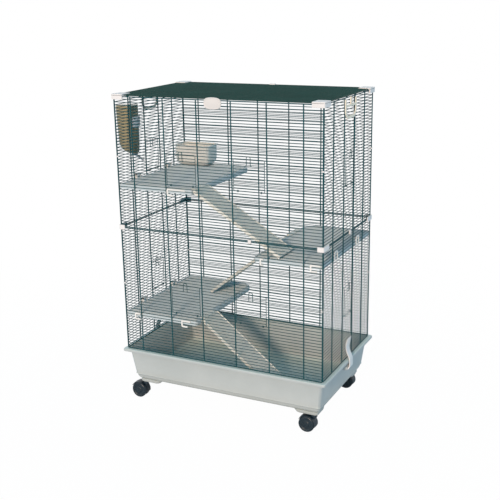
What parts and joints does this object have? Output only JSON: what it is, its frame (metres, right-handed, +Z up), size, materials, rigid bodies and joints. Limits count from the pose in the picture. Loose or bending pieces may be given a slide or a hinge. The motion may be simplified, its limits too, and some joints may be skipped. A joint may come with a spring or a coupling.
{
  "type": "pet cage",
  "caption": "Tall two-storey wire pet cage on a castored tray, with hinged doors, hinged roof, shelves, ramps, a tub and a drinking bottle.",
  "frame": {"origin": "on the floor, under the middle of the bounding box of the whole cage with its bottle and clamps", "axes": "+Z up, +X to the right along the long front side, -Y out of the front side, +Y to the back"},
  "size_m": [0.8938, 0.51, 1.1727],
  "materials": {
    "net": "dark green enamelled wire",
    "tray": "light warm grey moulded tray",
    "clip": "cream plastic fittings",
    "shelf": "beige ribbed plastic",
    "castor": "near black plastic",
    "steel": "plain steel",
    "bottle": "smoky amber plastic"
  },
  "bodies": {
    "cage": {"tray": "tray", "front_net_lower": "net", "back_net_lower": "net", "left_net_lower": "net", "right_net_lower": "net", "front_net_upper": "net", "back_net_upper": "net", "left_net_upper": "net", "right_net_upper": "net", "roof_cap_front_left": "clip", "mid_clip_front_left": "clip", "roof_cap_front_right": "clip", "mid_clip_front_right": "clip", "roof_cap_back_left": "clip", "mid_clip_back_left": "clip", "roof_cap_back_right": "clip", "mid_clip_back_right": "clip", "joint_clip_front": "clip", "joint_clip_right": "clip", "blank_oval_plate": "clip", "roof_hinge_clip": "clip", "shelf_high_left": "shelf", "shelf_middle_right": "shelf", "shelf_low_left": "shelf", "ramp_high": "shelf", "ramp_middle": "shelf", "ramp_low": "shelf", "hanging_tub": "clip", "drinking_bottle": "bottle", "bottle_spout": "steel", "bottle_holder": "clip"},
    "roof": {"roof_net": "net"},
    "bail_right": {"roof_bail_right": "clip"},
    "clamp_right": {"tray_clamp_right": "clip"},
    "bail_left": {"roof_bail_left": "clip"},
    "clamp_left": {"tray_clamp_left": "clip"},
    "front_door_lower_left": {"front_door_lower_left": "net"},
    "front_door_lower_right": {"front_door_lower_right": "net"},
    "right_door_lower": {"right_door_lower": "net"},
    "left_door_lower": {"left_door_lower": "net"},
    "front_door_upper_left": {"front_door_upper_left": "net"},
    "front_door_upper_right": {"front_door_upper_right": "net"},
    "right_door_upper": {"right_door_upper": "net"},
    "left_door_upper": {"left_door_upper": "net"},
    "castor_front_left": {"castor_fork_front_left": "castor", "castor_axle_front_left": "steel"},
    "wheel_front_left_a": {"castor_wheel_front_left_a": "castor"},
    "wheel_front_left_b": {"castor_wheel_front_left_b": "castor"},
    "castor_front_right": {"castor_fork_front_right": "castor", "castor_axle_front_right": "steel"},
    "wheel_front_right_a": {"castor_wheel_front_right_a": "castor"},
    "wheel_front_right_b": {"castor_wheel_front_right_b": "castor"},
    "castor_back_left": {"castor_fork_back_left": "castor", "castor_axle_back_left": "steel"},
    "wheel_back_left_a": {"castor_wheel_back_left_a": "castor"},
    "wheel_back_left_b": {"castor_wheel_back_left_b": "castor"},
    "castor_back_right": {"castor_fork_back_right": "castor", "castor_axle_back_right": "steel"},
    "wheel_back_right_a": {"castor_wheel_back_right_a": "castor"},
    "wheel_back_right_b": {"castor_wheel_back_right_b": "castor"}
  },
  "joints": [
    {"name": "roof_lid", "type": "hinge", "parent": "cage", "child": "roof", "pos_m": [0.0306, 0.2389, 1.1675], "axis": [-1, 0, 0], "range_deg": [0, 100]},
    {"name": "bail_right_swing", "type": "hinge", "parent": "cage", "child": "bail_right", "pos_m": [0.4304, 0, 1.0927], "axis": [0, 1, 0], "range_deg": [0, 150]},
    {"name": "clamp_right_swing", "type": "hinge", "parent": "cage", "child": "clamp_right", "pos_m": [0.4331, 0, 0.1827], "axis": [0, 1, 0], "range_deg": [0, 100]},
    {"name": "bail_left_swing", "type": "hinge", "parent": "cage", "child": "bail_left", "pos_m": [-0.3692, 0, 1.0927], "axis": [0, -1, 0], "range_deg": [0, 150]},
    {"name": "clamp_left_swing", "type": "hinge", "parent": "cage", "child": "clamp_left", "pos_m": [-0.3719, 0, 0.1827], "axis": [0, -1, 0], "range_deg": [0, 100]},
    {"name": "front_door_lower_left_hinge", "type": "hinge", "parent": "cage", "child": "front_door_lower_left", "pos_m": [-0.1004, -0.2397, 0.386], "axis": [1, 0, 0], "range_deg": [0, 165]},
    {"name": "front_door_lower_right_hinge", "type": "hinge", "parent": "cage", "child": "front_door_lower_right", "pos_m": [0.1616, -0.2397, 0.386], "axis": [1, 0, 0], "range_deg": [0, 165]},
    {"name": "right_door_lower_hinge", "type": "hinge", "parent": "cage", "child": "right_door_lower", "pos_m": [0.4268, 0, 0.386], "axis": [0, 1, 0], "range_deg": [0, 120]},
    {"name": "left_door_lower_hinge", "type": "hinge", "parent": "cage", "child": "left_door_lower", "pos_m": [-0.3656, 0, 0.386], "axis": [0, -1, 0], "range_deg": [0, 120]},
    {"name": "front_door_upper_left_hinge", "type": "hinge", "parent": "cage", "child": "front_door_upper_left", "pos_m": [-0.1004, -0.2397, 0.862], "axis": [1, 0, 0], "range_deg": [0, 165]},
    {"name": "front_door_upper_right_hinge", "type": "hinge", "parent": "cage", "child": "front_door_upper_right", "pos_m": [0.1616, -0.2397, 0.862], "axis": [1, 0, 0], "range_deg": [0, 165]},
    {"name": "right_door_upper_hinge", "type": "hinge", "parent": "cage", "child": "right_door_upper", "pos_m": [0.4268, 0, 0.862], "axis": [0, 1, 0], "range_deg": [0, 165]},
    {"name": "left_door_upper_hinge", "type": "hinge", "parent": "cage", "child": "left_door_upper", "pos_m": [-0.3656, 0, 0.862], "axis": [0, -1, 0], "range_deg": [0, 165]},
    {"name": "castor_front_left_swivel", "type": "hinge", "parent": "cage", "child": "castor_front_left", "pos_m": [-0.3199, -0.199, 0.0687], "axis": [0, 0, 1], "continuous": true},
    {"name": "wheel_front_left_a_spin", "type": "hinge", "parent": "castor_front_left", "child": "wheel_front_left_a", "pos_m": [-0.3449, -0.2103, 0.03], "axis": [0, 1, 0], "continuous": true},
    {"name": "wheel_front_left_b_spin", "type": "hinge", "parent": "castor_front_left", "child": "wheel_front_left_b", "pos_m": [-0.3449, -0.1877, 0.03], "axis": [0, 1, 0], "continuous": true},
    {"name": "castor_front_right_swivel", "type": "hinge", "parent": "cage", "child": "castor_front_right", "pos_m": [0.3811, -0.199, 0.0687], "axis": [0, 0, 1], "continuous": true},
    {"name": "wheel_front_right_a_spin", "type": "hinge", "parent": "castor_front_right", "child": "wheel_front_right_a", "pos_m": [0.3561, -0.2103, 0.03], "axis": [0, 1, 0], "continuous": true},
    {"name": "wheel_front_right_b_spin", "type": "hinge", "parent": "castor_front_right", "child": "wheel_front_right_b", "pos_m": [0.3561, -0.1877, 0.03], "axis": [0, 1, 0], "continuous": true},
    {"name": "castor_back_left_swivel", "type": "hinge", "parent": "cage", "child": "castor_back_left", "pos_m": [-0.3199, 0.199, 0.0687], "axis": [0, 0, 1], "continuous": true},
    {"name": "wheel_back_left_a_spin", "type": "hinge", "parent": "castor_back_left", "child": "wheel_back_left_a", "pos_m": [-0.3449, 0.1877, 0.03], "axis": [0, 1, 0], "continuous": true},
    {"name": "wheel_back_left_b_spin", "type": "hinge", "parent": "castor_back_left", "child": "wheel_back_left_b", "pos_m": [-0.3449, 0.2103, 0.03], "axis": [0, 1, 0], "continuous": true},
    {"name": "castor_back_right_swivel", "type": "hinge", "parent": "cage", "child": "castor_back_right", "pos_m": [0.3811, 0.199, 0.0687], "axis": [0, 0, 1], "continuous": true},
    {"name": "wheel_back_right_a_spin", "type": "hinge", "parent": "castor_back_right", "child": "wheel_back_right_a", "pos_m": [0.3561, 0.1877, 0.03], "axis": [0, 1, 0], "continuous": true},
    {"name": "wheel_back_right_b_spin", "type": "hinge", "parent": "castor_back_right", "child": "wheel_back_right_b", "pos_m": [0.3561, 0.2103, 0.03], "axis": [0, 1, 0], "continuous": true}
  ]
}
